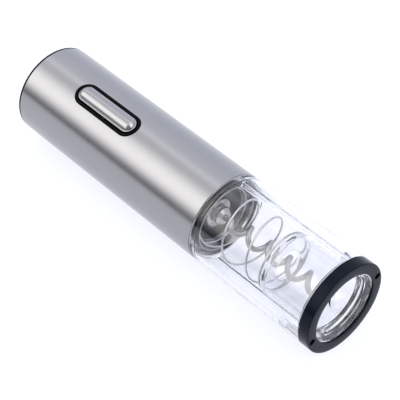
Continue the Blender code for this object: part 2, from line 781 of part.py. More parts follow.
def make_motor_leads():
    """Each lead runs from the switch board, down past the terminal board, to the motor's tab."""
    for side, word, look in ((1, "red", RED_LEAD), (-1, "black", BLACK_LEAD)):
        route = [
            Vector((74.6 * MM, side * 3.5 * MM, 17.2 * MM)),
            Vector((76.0 * MM, side * 3.9 * MM, 17.3 * MM)),
            Vector((76.4 * MM, side * 5.6 * MM, 17.4 * MM)),
            Vector((74.0 * MM, side * 8.2 * MM, 17.0 * MM)),
            Vector((69.0 * MM, side * 10.9 * MM, 15.2 * MM)),
            Vector((64.0 * MM, side * 12.6 * MM, 11.5 * MM)),
            Vector((62.0 * MM, side * 12.4 * MM, 6.5 * MM)),
            Vector((61.9 * MM, side * 11.4 * MM, 2.0 * MM)),
            Vector((61.9 * MM, side * 10.2 * MM, 0.3 * MM)),
        ]
        add_object(f"motor_lead_{word}", swept_wire(route, LEAD_RADIUS, 8), look)


def make_motor_plate():
    low = MOTOR_END + GAP
    high = low + MOTOR_PLATE_THICKNESS
    holes = [circle(3 * MM, 16)]
    holes += [circle(1.6 * MM, 10, (side * MOTOR_SCREW_OFFSET, 0)) for side in (1, -1)]
    made = plate([circle(CORE_RADIUS, INNER_SIDES), *holes], low, high)
    add_object("motor_plate", made, ZINC_STEEL)
    for side, word in ((1, "left"), (-1, "right")):
        stub = drum(low - 0.1 * MM, high - 0.2 * MM, 1.2 * MM, 10)
        at = (0, side * MOTOR_SCREW_OFFSET, 0)
        add_object(f"motor_screw_{word}", stub, ZINC_STEEL, at)


# Gearbox


def gear_radius(teeth):
    return teeth * GEAR_MODULE / 2


def gear_loop(teeth, phase=0.0):
    pitch = gear_radius(teeth)
    return tooth_ring(
        teeth, pitch - 1.1 * GEAR_MODULE, pitch + 0.8 * GEAR_MODULE, 0.56, 0.22, phase
    )


def orbit_points():
    orbit = 2 * gear_radius(SUN_TEETH)
    return [(orbit * cos(2 * pi * k / 3), orbit * sin(2 * pi * k / 3)) for k in range(3)]


def make_pinion():
    hole = circle(SHAFT_RADIUS + GAP, 10)
    bm = plate([gear_loop(SUN_TEETH), hole], STAGE_START - 0.2 * MM, STAGE_START + 4.3 * MM)
    add_object("motor_pinion", bm, BRASS)


def make_planets(stage):
    start = STAGE_START + stage * STAGE_PITCH
    for number, (y, z) in enumerate(orbit_points()):
        bore = circle(PLANET_PIN_RADIUS + GAP, 10)
        outline = gear_loop(SUN_TEETH, pi / SUN_TEETH)
        bm = plate([outline, bore], start, start + PLANET_WIDTH)
        letter = "abc"[number]
        add_object(f"planet_{stage + 1}{letter}", bm, WHITE_GEAR, (0, y, z))


def make_carrier(stage, name, look):
    """A disc with three planet pins behind it. Its sun gear or its shaft is joined in front."""
    start = STAGE_START + stage * STAGE_PITCH + PLANET_WIDTH + GAP
    disc = plate([circle(CARRIER_RADIUS, INNER_SIDES)], start, start + CARRIER_THICKNESS)
    made = add_object(name, disc, look)
    for number, (y, z) in enumerate(orbit_points()):
        pin = drum(start - PLANET_WIDTH - GAP, start + 0.5 * MM, PLANET_PIN_RADIUS, 10)
        join(made, cutter(f"pin_{stage}_{number}", pin, (0, y, z)))
    return made, start + CARRIER_THICKNESS


def make_gear_train():
    make_pinion()
    for stage in range(3):
        make_planets(stage)
    for stage in range(2):
        made, front = make_carrier(stage, f"carrier_{stage + 1}", WHITE_GEAR)
        sun = plate([gear_loop(SUN_TEETH)], front - 0.5 * MM, front + PLANET_WIDTH + 0.5 * MM)
        join(made, cutter(f"sun_{stage + 2}", sun))
    made, front = make_carrier(2, "output_carrier", ZINC_STEEL)
    shaft = drum(front - 0.5 * MM, SHAFT_FRONT, OUTPUT_SHAFT_RADIUS, 16)
    join(made, cutter("output_shaft", shaft))


def make_gearbox_case():
    pitch = gear_radius(RING_TEETH)
    teeth = tooth_ring(
        RING_TEETH, pitch + 1.1 * GEAR_MODULE, pitch - 0.8 * GEAR_MODULE, 0.56, 0.24
    )
    loops = [circle(CORE_RADIUS, INNER_SIDES), teeth]
    add_object("gearbox_housing", plate(loops, GEARBOX_START, GEARBOX_END), BLACK_PLASTIC)
    cover = tube(COVER_START, COVER_END, BUSHING_RADIUS + GAP, COVER_RADIUS, INNER_SIDES)
    add_object("gearbox_cover", cover, BLACK_PLASTIC)
    back = COVER_START + 0.2 * MM
    bushing = [
        (back, SHAFT_BORE),
        (back, BUSHING_RADIUS),
        (COVER_END + GAP, BUSHING_RADIUS),
        (COVER_END + GAP, BUSHING_FLANGE),
        (HUB_START - GAP, BUSHING_FLANGE - GAP),
        (HUB_START - GAP, SHAFT_BORE),
    ]
    add_object("output_bushing", turned(bushing, 24), SATIN_SILVER)


def make_half_frames():
    """Two half shells round the gearbox and the motor, with ribs that reach in to hold them."""
    profile = [
        (FRAME_END, FRAME_INNER),
        (FRAME_END, FRAME_OUTER),
        (FRAME_START, FRAME_OUTER),
        (FRAME_START, FRAME_INNER),
    ]
    ribs = (
        (82 * MM, MOTOR_RIB_REACH),
        (92 * MM, MOTOR_RIB_REACH),
        (104 * MM, GEARBOX_RIB_REACH),
        (115 * MM, GEARBOX_RIB_REACH),
    )
    for near, reach in ribs:
        far = near + FRAME_RIB_WIDTH
        profile += [(near, FRAME_INNER), (near, reach), (far, reach), (far, FRAME_INNER)]
    split = radians(1)
    for first, word in ((0, "upper"), (pi, "lower")):
        shell = half_turned(profile, first + split, first + pi - split)
        add_object(f"{word}_frame", shell, BLACK_PLASTIC)


# Worm and guide


def make_worm_hub():
    """Behind it has the bore for the output shaft, and in front the bore for the worm's shank."""
    profile = [
        (HUB_START, SHAFT_BORE),
        (HUB_START, HUB_RADIUS),
        (HUB_END - HUB_TAPER, HUB_RADIUS),
        (HUB_END, HUB_RADIUS - HUB_TAPER),
        (HUB_END, WORM_WIRE + GAP),
        (SHAFT_FRONT + GAP, WORM_WIRE + GAP),
        (SHAFT_FRONT + GAP, SHAFT_BORE),
    ]
    add_object("worm_hub", turned(profile, 24), SATIN_SILVER)


def around_axis(station, radius, angle):
    return Vector((station, radius * cos(angle), radius * sin(angle)))


def worm_coil_radius(station):
    """None on the straight shank, and from there a smooth growth to the full coil."""
    share = (station - WORM_SHANK_END) / (WORM_FULL - WORM_SHANK_END)
    share = min(1.0, max(0.0, share))
    return WORM_RADIUS * share * share * (3 - 2 * share)


def make_worm():
    """A right-handed wire helix with a straight shank and a tip that narrows to a point."""
    step = WORM_PITCH / 12
    points = []
    for i in range(int((WORM_TIP - WORM_START) / step) + 1):
        station = WORM_START + step * i
        angle = WORM_START_ANGLE + 2 * pi * i / 12
        points.append(around_axis(station, worm_coil_radius(station), angle))
    add_object("worm", swept_wire(points, WORM_WIRE, 7, tip=True), CHROME)


def make_spring_seat():
    """A sleeve with a flange outwards and a shelf inwards, on which the spring stands."""
    inner = SEAT_RADIUS - SEAT_WALL
    flange_front = SEAT_START + SEAT_FLANGE_THICKNESS
    floor = SEAT_START + SEAT_SHELF_THICKNESS
    narrow = inner - 0.2 * MM
    profile = [
        (SEAT_START, SEAT_SHELF),
        (SEAT_START, SEAT_FLANGE),
        (flange_front, SEAT_FLANGE),
        (flange_front, SEAT_RADIUS),
        (SEAT_END, SEAT_RADIUS),
        (SEAT_END, inner + 0.4 * MM),
        (SEAT_END - SEAT_FLARE, narrow),
        (floor, narrow),
        (floor, SEAT_SHELF),
    ]
    add_object("spring_seat", turned(profile, INNER_SIDES), CHROME)


def make_guide_spring():
    """A right-handed compression spring with one dead turn at each end."""
    end = CUP_START - 0.9 * MM
    pitch = (end - SPRING_START - 2 * SPRING_DEAD_PITCH) / SPRING_FREE_TURNS
    turn_steps = 16
    station = SPRING_START
    points = []
    for i in range(int((SPRING_FREE_TURNS + 2) * turn_steps) + 1):
        turn = i / turn_steps
        angle = SPRING_START_ANGLE + 2 * pi * turn
        points.append(around_axis(station, SPRING_RADIUS, angle))
        open_turn = 1 <= turn < 1 + SPRING_FREE_TURNS
        station += (pitch if open_turn else SPRING_DEAD_PITCH) / turn_steps
    add_object("guide_spring", swept_wire(points, SPRING_WIRE, 4), SPRING_STEEL)


def make_guide_cup():
    """A cup whose flange slides in the housing and whose nose rests in the end ring."""
    flange_back = CUP_END - CUP_FLANGE_THICKNESS
    floor = CUP_START + CUP_BOTTOM
    profile = [
        (CUP_START, CUP_HOLE),
        (CUP_START, CUP_RADIUS),
        (flange_back, CUP_RADIUS),
        (flange_back, CUP_FLANGE),
        (CUP_END, CUP_FLANGE),
        (CUP_END, NOSE_RADIUS),
        (NOSE_END, NOSE_RADIUS),
    ]
    station = NOSE_END
    radius = NOSE_RADIUS - 0.8 * MM
    for _ in range(NOSE_STEPS):
        profile.append((station, radius))
        radius -= NOSE_STEP_WIDTH
        profile.append((station - NOSE_TREAD_LENGTH, radius))
        station -= NOSE_STEP_LENGTH
    profile += [
        (station - MM, radius),
        (station - 3 * MM, CUP_BORE),
        (floor, CUP_BORE),
        (floor, CUP_HOLE),
    ]
    made = add_object("guide_cup", turned(profile, INNER_SIDES), CLEAR_PLASTIC)
    back = CUP_START - MM
    half = CUP_NOTCH_HALF
    groove_width = RAIL_WIDTH + 3 * GAP
    for side, word in ((1, "left"), (-1, "right")):
        near, far = sorted((side * (NOSE_RADIUS + 0.1 * MM), side * FAR_OUT))
        notch = box((back, near, -half), (LENGTH, far, half))
        cut(made, cutter(f"cup_notch_{word}", notch))
        groove = radial_block(back, LENGTH, RAIL_INNER - GAP, FAR_OUT, groove_width, side)
        cut(made, cutter(f"cup_groove_{word}", groove))


make_steel_tube()
make_battery_cap()
make_clear_housing()
make_end_ring()
make_ring_screws()
make_button_bezel()
make_rocker_button()
make_rocker_pin()
make_switches()
make_battery_barrel()
make_cells()
make_front_contacts()
make_cap_contacts()
make_motor()
make_motor_leads()
make_motor_plate()
make_gear_train()
make_gearbox_case()
make_half_frames()
make_worm_hub()
make_worm()
make_spring_seat()
make_guide_spring()
make_guide_cup()
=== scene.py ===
"""Looks of a cordless wine opener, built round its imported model.

Metres, +X towards the bottle opening, +Z up. Each piece is drawn with its axis on X, at stations
from the back end and radii from the axis, and PLACE then lifts and rolls it to where it lies.
"""

import json
from math import asin, atan2, cos, pi, radians, sin, sqrt, tan

import bmesh
import bpy
from mathutils import Matrix, Vector


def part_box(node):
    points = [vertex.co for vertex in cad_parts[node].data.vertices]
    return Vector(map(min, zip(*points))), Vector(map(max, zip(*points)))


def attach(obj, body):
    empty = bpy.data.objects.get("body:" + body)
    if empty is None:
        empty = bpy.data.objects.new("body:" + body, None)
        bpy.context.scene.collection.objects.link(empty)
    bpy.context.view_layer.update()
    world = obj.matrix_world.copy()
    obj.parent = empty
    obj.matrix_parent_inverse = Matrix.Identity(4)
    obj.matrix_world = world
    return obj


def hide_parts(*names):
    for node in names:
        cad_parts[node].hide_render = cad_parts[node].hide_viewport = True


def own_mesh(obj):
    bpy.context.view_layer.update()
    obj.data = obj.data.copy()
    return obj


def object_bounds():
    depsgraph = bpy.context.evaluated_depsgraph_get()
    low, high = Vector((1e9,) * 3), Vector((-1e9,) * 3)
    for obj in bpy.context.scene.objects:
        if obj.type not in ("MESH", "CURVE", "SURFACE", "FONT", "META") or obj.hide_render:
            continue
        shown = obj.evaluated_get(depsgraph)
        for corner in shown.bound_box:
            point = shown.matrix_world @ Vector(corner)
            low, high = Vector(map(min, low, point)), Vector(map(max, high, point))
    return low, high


MM = 0.001
SIDES = 144  # of the large round pieces
FINE_SIDES = 72  # of the small ones
FILLET_SHARE = 0.45  # of an edge, the most that the fillet at one end may take
LEAN_LIMIT = 0.02  # of a normal along X, for a face that counts as running along the axis
NEAR = 0.03 * MM  # a corner this close to a round surface lies on it

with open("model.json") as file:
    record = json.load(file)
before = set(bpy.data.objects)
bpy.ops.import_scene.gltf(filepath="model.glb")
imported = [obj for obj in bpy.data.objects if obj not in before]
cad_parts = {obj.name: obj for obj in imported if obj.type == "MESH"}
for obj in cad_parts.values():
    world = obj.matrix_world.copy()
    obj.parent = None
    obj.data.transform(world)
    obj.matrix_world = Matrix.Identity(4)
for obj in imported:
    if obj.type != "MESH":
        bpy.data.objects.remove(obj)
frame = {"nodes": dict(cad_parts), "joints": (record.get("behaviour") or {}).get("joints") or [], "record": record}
CAD_LOW, CAD_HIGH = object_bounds()
JOINTS = {joint["name"]: joint for joint in frame["joints"]}
SLOTS = {part["node"]: part["material_slot"] for part in frame["record"]["subparts"]}


def stations(node):
    """Where a CAD node starts and ends along the opener."""
    low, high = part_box(node)
    return low.x - CAD_LOW.x, high.x - CAD_LOW.x


def outer_radius(node):
    low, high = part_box(node)
    return (high.z - low.z) / 2


RADIUS = outer_radius("end_ring")
AXIS_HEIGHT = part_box("end_ring")[0].z + RADIUS
TILT_AXIS = JOINTS["rocker_tilt"]["axis"]
ROLL = atan2(TILT_AXIS[2], TILT_AXIS[1])
PLACE = Matrix.Translation((CAD_LOW.x, 0, AXIS_HEIGHT)) @ Matrix.Rotation(ROLL, 4, "X")

GAP = 0.3 * MM
TUBE_WALL = 0.8 * MM
HOUSING_WALL = 2.0 * MM
SPIGOT_WALL = 1.7 * MM  # of the housing's narrower end, which sits in the tube
SHOULDER_LENGTH = 3 * MM  # from the seam with the steel to where the housing's bore is full
SHOULDER_SLOPE = 0.8 * MM
CAP_INSET = 0.1 * MM  # of the cap's flange, from the tube's outside
CAP_SKIRT_INSET = 1.3 * MM
CAP_FLANGE_THICKNESS = 1.0 * MM
CAP_FLOOR = 2.2 * MM  # front face of the cap's closed end
CAP_SKIRT_WALL = 1.9 * MM
CAP_GROOVE = 18.5 * MM  # radius of the line round the cap's recessed face
CAP_RECESS = 0.3 * MM
COIN_SLOT_LENGTH = 18 * MM
COIN_SLOT_WIDTH = 2.4 * MM
COIN_SLOT_DEPTH = 0.8 * MM
OPENING_RADIUS = 18.2 * MM
RING_LIP = 0.9 * MM
RING_SOCKET = 19.0 * MM
SCREW_RADIUS = 21.4 * MM  # the ring screws' distance from the axis
SCREW_BORE = 1.1 * MM
SCREW_SHANK = 0.75 * MM
SCREW_HEAD = 1.4 * MM
SCREW_HEAD_HEIGHT = 1.5 * MM
SCREW_WELL = 1.75 * MM
SCREW_WELL_DEPTH = 4.2 * MM
CROSS_LENGTH = 1.5 * MM  # of one bar of the screws' cross recess
CROSS_WIDTH = 0.36 * MM
CROSS_DEPTH = 0.7 * MM
CROSS_ANGLE = radians(20)
RAIL_ANGLE = radians(53.7)
RAIL_INNER = 19.2 * MM
RAIL_WIDTH = 1.6 * MM
RAIL_WEB = 0.5 * MM  # half the thickness of the web behind the bead
RAIL_ROOT = 1.1 * MM  # half the thickness where it meets the wall
RAIL_FLARE = 1.4 * MM  # length of the flare at the root
RAIL_SUNK = 0.6 * MM  # how deep the root goes into the wall
PILLAR_START = 186.5 * MM
PILLAR_RADIUS = 2.3 * MM
PILLAR_BORE_DEPTH = 11 * MM
BUTTON_WIDTH = 12.5 * MM
BEZEL_RIM = 1.6 * MM
BEZEL_HEIGHT = 0.15 * MM  # how far the bezel stands out of the tube
BEZEL_DEPTH = 5 * MM
ROCKER_PIVOT = 20.6 * MM  # heights over the axis
ROCKER_UNDERSIDE = 21.6 * MM
ROCKER_LUG_TOP = 22.5 * MM
ROCKER_LUG_LENGTH = 4.4 * MM
ROCKER_LUG_WIDTH = 5.2 * MM
PIN_HOLE_RADIUS = 1.1 * MM
ROCKER_SHOULDER = RADIUS + 0.4 * MM  # height of the flat round the crown
ROCKER_DOME = 4.8 * MM  # radius of the crown's arc
ROCKER_DOME_EDGE = 3.7 * MM  # half the crown's width
ROCKER_TOP = RADIUS + 2.75 * MM
WORM_RADIUS = 3.7 * MM
WORM_WIRE = 1.35 * MM
WORM_PITCH = 12.8 * MM
WORM_START_ANGLE = radians(-68)
WORM_SHANK = 2.7 * MM  # length of the straight start
WORM_SWELL = 7.1 * MM  # length over which the coil grows to its full radius
WORM_TAPER = 5 * MM  # length over which the wire narrows to the tip
WORM_POINT = 0.03  # the tip's radius as a share of the wire's
HUB_TAPER = 1.6 * MM
BUSHING_RADIUS = 5.5 * MM
BUSHING_FLANGE = 7.7 * MM
COVER_RADIUS = 20.8 * MM
SHAFT_BORE = 3.9 * MM  # of the bushing and the hub, round the output shaft
SEAT_RADIUS = 17.8 * MM
SEAT_WALL = 0.9 * MM
SEAT_SHELF = 14.4 * MM  # inner radius of the shelf that the spring stands on
SEAT_SHELF_THICKNESS = 1.3 * MM
SEAT_FLANGE_THICKNESS = 1.0 * MM
SEAT_FLARE = 2.6 * MM  # length of the rim's inner flare
SPRING_RADIUS = 15.5 * MM
SPRING_WIRE = 0.5 * MM
SPRING_START = 125.9 * MM
SPRING_END_GAP = 0.9 * MM  # from the middle of the last turn's wire to the cup
SPRING_START_ANGLE = radians(163)
SPRING_DEAD_PITCH = 1.3 * MM
SPRING_FREE_TURNS = 2.5
CUP_RADIUS = 16.8 * MM
CUP_BORE = 15.0 * MM
CUP_HOLE = 8.0 * MM  # in its bottom, for the worm
CUP_BOTTOM = 1.8 * MM
CUP_FLANGE = 20.9 * MM
CUP_FLANGE_THICKNESS = 2.0 * MM
CUP_FLANGE_GAP = 0.2 * MM  # from the flange to the end ring
CUP_NOTCH_HALF = 2.9 * MM  # half the width of the notch that passes a pillar
NOSE_RADIUS = 18.7 * MM
NOSE_EDGE = 0.8 * MM  # width of the nose's front face
NOSE_STEPS = 3
NOSE_STEP_LENGTH = 0.9 * MM
NOSE_STEP_WIDTH = 0.65 * MM
NOSE_TREAD_LENGTH = 0.3 * MM  # how far each step's face leans along the axis
NOSE_CONE_START = 1 * MM  # both from the last step
NOSE_CONE_END = 3 * MM


# Shapes


def rounded(corners, steps=4):
    """Corners of (x, y, fillet), a closed outline, with each fillet drawn as a short arc."""
    outline = []
    for i, (x, y, fillet) in enumerate(corners):
        here = Vector((x, y))
        if not fillet:
            outline.append(here)
            continue
        before = Vector(corners[i - 1][:2]) - here
        after = Vector(corners[(i + 1) % len(corners)][:2]) - here
        half = before.angle(after) / 2
        longest = FILLET_SHARE * min(before.length, after.length)
        reach = min(fillet / tan(half), longest)
        radius = reach * tan(half)
        inward = (before.normalized() + after.normalized()).normalized()
        centre = here + inward * radius / sin(half)
        first = here + before.normalized() * reach - centre
        last = here + after.normalized() * reach - centre
        for k in range(steps + 1):
            outline.append(centre + first.lerp(last, k / steps).normalized() * radius)
    return outline


def skin(bm, rings, closed=True):
    """Faces between each ring of points and the next, and then to the first or over both ends."""
    count = max(len(ring) for ring in rings)
    if not closed:
        bm.faces.new(rings[0][::-1])
        bm.faces.new(rings[-1])
    for ring, following in zip(rings, rings[1:] + rings[:1] if closed else rings[1:]):
        for k in range(count):
            n = (k + 1) % count
            a, b = ring[k % len(ring)], ring[n % len(ring)]
            c, d = following[n % len(following)], following[k % len(following)]
            face = list(dict.fromkeys((a, b, c, d)))
            if len(face) > 2:
                bm.faces.new(face)


def lathe(corners, sides=SIDES, steps=4):
    """A closed outline of (station, radius, fillet) corners turned round the X axis."""
    bm = bmesh.new()
    rings = []
    for station, radius in rounded(corners, steps):
        if radius < 1e-9:
            rings.append([bm.verts.new((station, 0, 0))])
            continue
        angles = [2 * pi * k / sides for k in range(sides)]
        rings.append([bm.verts.new((station, radius * cos(a), radius * sin(a))) for a in angles])
    skin(bm, rings)
    return bm


def long_path(start, end, width, steps=20):
    """Points round a long outline with round ends, each with its outward direction."""
    radius = width / 2
    path = []
    for centre, first in ((end - radius, -pi / 2), (start + radius, pi / 2)):
        for k in range(steps + 1):
            angle = first + pi * k / steps
            out = Vector((cos(angle), sin(angle)))
            path.append((Vector((centre, 0)) + out * radius, out))
    return path


def prism(outline, low, high, axis="Z"):
    """An outline of (x, y) points raised along Z, or of (y, z) points drawn out along X."""
    bm = bmesh.new()
    rings = []
    for level in (low, high):
        if axis == "Z":
            rings.append([bm.verts.new((x, y, level)) for x, y in outline])
        else:
            rings.append([bm.verts.new((level, y, z)) for y, z in outline])
    skin(bm, rings, closed=False)
    return bm


def circle(radius, centre=(0, 0), sides=40):
    steps = [2 * pi * k / sides for k in range(sides)]
    return [(centre[0] + radius * cos(a), centre[1] + radius * sin(a)) for a in steps]


def block(low, high, turn=0.0):
    """A straight-sided block, turned round the X axis."""
    outline = [(low[0], low[1]), (high[0], low[1]), (high[0], high[1]), (low[0], high[1])]
    bm = prism(outline, low[2], high[2])
    bm.transform(Matrix.Rotation(turn, 4, "X"))
    return bm


def wire(points, radii, sides=16):
    """A round wire through the points, with a radius at each."""
    bm = bmesh.new()
    rings = []
    side = Vector((0, 1, 0))
    for i, here in enumerate(points):
        along = points[min(i + 1, len(points) - 1)] - points[max(i - 1, 0)]
        along.normalize()
        side = (side - along * side.dot(along)).normalized()
        other = along.cross(side)
        turns = [2 * pi * k / sides for k in range(sides)]
        ring = [here + (side * cos(a) + other * sin(a)) * radii[i] for a in turns]
        rings.append([bm.verts.new(point) for point in ring])
    skin(bm, rings, closed=False)
    return bm


def around(station, radius, angle):
    return Vector((station, radius * cos(angle), radius * sin(angle)))


def combine(bm, tool, operation):
    """The first bmesh with the second cut from it or joined to it. Both are used up."""
    things = []
    for each in (bm, tool):
        bmesh.ops.recalc_face_normals(each, faces=each.faces)
        mesh = bpy.data.meshes.new("step")
        each.to_mesh(mesh)
        each.free()
        thing = bpy.data.objects.new("step", mesh)
        bpy.context.scene.collection.objects.link(thing)
        things.append(thing)
    modifier = things[0].modifiers.new("step", "BOOLEAN")
    modifier.operation = operation
    modifier.object = things[1]
    modifier.solver = "EXACT"
    evaluated = things[0].evaluated_get(bpy.context.evaluated_depsgraph_get())
    result = bmesh.new()
    result.from_mesh(evaluated.to_mesh())
    evaluated.to_mesh_clear()
    for thing in things:
        mesh = thing.data
        bpy.data.objects.remove(thing)
        bpy.data.meshes.remove(mesh)
    return result


def cut(bm, tool):
    return combine(bm, tool, "DIFFERENCE")


def join(bm, tool):
    return combine(bm, tool, "UNION")


def add_piece(node, bm, look, body, sharp=35):
    """Places the piece that stands for a CAD node, on that node's body."""
    bmesh.ops.recalc_face_normals(bm, faces=bm.faces)
    bm.transform(PLACE)
    mesh = bpy.data.meshes.new(node + "_fine")
    bm.to_mesh(mesh)
    bm.free()
    mesh.materials.append(look)
    mesh.shade_smooth()
    mesh.set_sharp_from_angle(angle=radians(sharp))
    piece = bpy.data.objects.new(node + "_fine", mesh)
    bpy.context.scene.collection.objects.link(piece)
    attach(piece, body)
    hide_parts(node)
    return piece


def exact_normals(piece, *radii):
    """Gives the long faces that lie on these round surfaces the normals of a true cylinder."""
    mesh = piece.data
    normals = [corner.vector.copy() for corner in mesh.corner_normals]
    for face in mesh.polygons:
        if abs(face.normal.x) > LEAN_LIMIT:
            continue
        found = {}
        for loop in face.loop_indices:
            point = mesh.vertices[mesh.loops[loop].vertex_index].co
            found[loop] = Vector((0, point.y, point.z - AXIS_HEIGHT))
        for radius in radii:
            if all(abs(out.length - radius) < NEAR for out in found.values()):
                for loop, out in found.items():
                    side = 1 if out.dot(face.normal) > 0 else -1
                    normals[loop] = out.normalized() * side
    mesh.normals_split_custom_set(normals)


# Materials


NOISE_LOW = 0.3  # the noise's range that the finishes are stretched over
NOISE_HIGH = 0.7
PLASTIC_IOR = 1.49
WAVE_GRAIN = 160  # per metre
WAVE_RELIEF = 0.02 * MM
WORM_TIP_COLOUR = (0.02, 0.02, 0.022, 1)
DARK_START = 6 * MM  # before the tip, where the worm's finish starts to darken
DARK_FULL = 3.5 * MM
DARK_GLOSS = {"Specular IOR Level": 0.1, "Specular Tint": (0.8, 0.87, 1.0, 1)}
DEEP_GLOSS = {"Specular IOR Level": 0.04}


def shader_node(tree, kind, inputs=None, **settings):
    """A shader node with its inputs set, or linked where the value is another node's output."""
    made = tree.nodes.new(kind)
    for key, value in settings.items():
        setattr(made, key, value)
    for key, value in (inputs or {}).items():
        if isinstance(value, bpy.types.NodeSocket):
            tree.links.new(value, made.inputs[key])
        else:
            made.inputs[key].default_value = value
    return made


def mixed(tree, share, first, second):
    mix = shader_node(tree, "ShaderNodeMix", {0: share}, data_type="RGBA")
    for socket, value in ((mix.inputs[6], first), (mix.inputs[7], second)):
        if isinstance(value, bpy.types.NodeSocket):
            tree.links.new(value, socket)
        else:
            socket.default_value = value
    return mix.outputs[2]


def eased(tree, value, low, high):
    """Rises smoothly from 0 to 1 as the value goes from low to high."""
    ends = {"Value": value, "From Min": low, "From Max": high}
    rise = shader_node(tree, "ShaderNodeMapRange", ends, interpolation_type="SMOOTHSTEP")
    return rise.outputs["Result"]


def surface(name, colour, roughness, metallic=0.0, grain=900, stretch=(1, 1, 1), relief=0.01,
            mottle=0.06, spread=0.05, sockets=None):
    """A finish whose colour, roughness and relief all follow one noise.

    grain is its fineness per metre, relief its depth in millimetres, and mottle and spread how
    far the colour and the roughness stray from their middle values.
    """
    made = bpy.data.materials.new(name)
    made.use_nodes = True
    tree = made.node_tree
    shader = tree.nodes["Principled BSDF"]
    place = shader_node(tree, "ShaderNodeTexCoord").outputs["Object"]
    mapped = shader_node(tree, "ShaderNodeMapping", {"Vector": place, "Scale": stretch}).outputs[0]
    fineness = {"Vector": mapped, "Scale": grain, "Detail": 3.0}
    value = shader_node(tree, "ShaderNodeTexNoise", fineness).outputs["Fac"]
    ramp = shader_node(tree, "ShaderNodeValToRGB", {"Fac": value})
    ends = ((NOISE_LOW, 1 - mottle), (NOISE_HIGH, 1 + mottle))
    for element, (position, share) in zip(ramp.color_ramp.elements, ends):
        element.position = position
        element.color = (*[min(1, channel * share) for channel in colour], 1)
    rough = shader_node(tree, "ShaderNodeMapRange", {
        "Value": value, "From Min": NOISE_LOW, "From Max": NOISE_HIGH,
        "To Min": max(0.0, roughness - spread), "To Max": roughness + spread,
    })
    bump = shader_node(tree, "ShaderNodeBump", {"Height": value, "Distance": relief * MM})
    tree.links.new(ramp.outputs["Color"], shader.inputs["Base Color"])
    tree.links.new(rough.outputs["Result"], shader.inputs["Roughness"])
    tree.links.new(bump.outputs["Normal"], shader.inputs["Normal"])
    shader.inputs["Metallic"].default_value = metallic
    for key, setting in (sockets or {}).items():
        shader.inputs[key].default_value = setting
    return made


def clear_plastic(name, colour, clearness):
    """Polished clear plastic, faintly wavy as mouldings are, and cloudy if clearness is under 1."""
    made = bpy.data.materials.new(name)
    made.use_nodes = True
    tree = made.node_tree
    shader = tree.nodes["Principled BSDF"]
    shader.inputs["Base Color"].default_value = (*colour, 1)
    shader.inputs["Roughness"].default_value = 0.0
    shader.inputs["Transmission Weight"].default_value = clearness
    shader.inputs["IOR"].default_value = PLASTIC_IOR
    place = shader_node(tree, "ShaderNodeTexCoord").outputs["Object"]
    fineness = {"Vector": place, "Scale": WAVE_GRAIN, "Detail": 1.0}
    waves = shader_node(tree, "ShaderNodeTexNoise", fineness).outputs["Fac"]
    bump = shader_node(tree, "ShaderNodeBump", {"Height": waves, "Distance": WAVE_RELIEF})
    tree.links.new(bump.outputs["Normal"], shader.inputs["Normal"])
    return made


def darken_towards(look, tip):
    """Darkens a finish along X over the last few millimetres of the wire, up to its tip."""
    tree = look.node_tree
    shader = tree.nodes["Principled BSDF"]
    place = shader_node(tree, "ShaderNodeTexCoord").outputs["Object"]
    along = shader_node(tree, "ShaderNodeSeparateXYZ", {"Vector": place}).outputs["X"]
    share = eased(tree, along, tip - DARK_START, tip - DARK_FULL)
    colour = shader.inputs["Base Color"].links[0].from_socket
    dark = mixed(tree, share, colour, WORM_TIP_COLOUR)
    tree.links.new(dark, shader.inputs["Base Color"])


LOOKS = {
    "brushed_steel": surface("brushed_steel_look", (0.328, 0.328, 0.332), 0.23, 1.0, 3500,
                             (1, 0.03, 0.03), 0.0003, 0.03, 0.02),
    "black_plastic": surface("black_plastic_look", (0.003, 0.0055, 0.011), 0.16, 0.0, 2500,
                             relief=0.002, mottle=0.2, sockets=DARK_GLOSS),
    "gloss_black": surface("gloss_black_look", (0.0015, 0.0015, 0.002), 0.1, 0.0, 300,
                           relief=0.002, spread=0.03, sockets=DEEP_GLOSS),
    "clear_plastic": clear_plastic("clear_plastic_look", (0.975, 0.981, 1.0), 1.0),
    "cup_plastic": clear_plastic("cup_plastic_look", (0.982, 0.986, 1.0), 0.96),
    "satin_silver": surface("satin_silver_look", (0.335, 0.33, 0.335), 0.17, 1.0, 3000,
                            relief=0.0006, mottle=0.03, spread=0.03),
    "chrome": surface("chrome_look", (0.36, 0.36, 0.38), 0.08, 1.0, 400,
                      relief=0.002, mottle=0.04, spread=0.03),
    "spring_steel": surface("spring_steel_look", (0.5, 0.49, 0.48), 0.2, 1.0, 1500,
                            relief=0.003),
    "worm": surface("worm_look", (0.34, 0.34, 0.35), 0.36, 1.0, 900, relief=0.004),
    "zinc_steel": surface("zinc_steel_look", (0.5, 0.5, 0.48), 0.35, 1.0, 700,
                          relief=0.004, mottle=0.12, spread=0.1),
    "brass": surface("brass_look", (0.7, 0.5, 0.2), 0.28, 1.0, 600, relief=0.004),
    "copper": surface("copper_look", (0.6, 0.28, 0.14), 0.35, 1.0, 4000, (1, 0.1, 0.1), 0.06),
    "ferrite": surface("ferrite_look", (0.06, 0.06, 0.065), 0.6, 0.0, 1500, relief=0.03,
                       mottle=0.3),
    "green_board": surface("green_board_look", (0.02, 0.18, 0.07), 0.35, 0.0, 250,
                           relief=0.02, mottle=0.25),
    "white_gear": surface("white_gear_look", (0.8, 0.79, 0.74), 0.42, 0.0, 500, relief=0.01),
    "cell_wrap": surface("cell_wrap_look", (0.05, 0.09, 0.25), 0.3, 0.0, 200, relief=0.01,
                         mottle=0.15),
    "red_lead": surface("red_lead_look", (0.5, 0.02, 0.02), 0.45, 0.0, 800, relief=0.02),
    "black_lead": surface("black_lead_look", (0.02, 0.02, 0.02), 0.45, 0.0, 800, relief=0.02),
}


# Casing


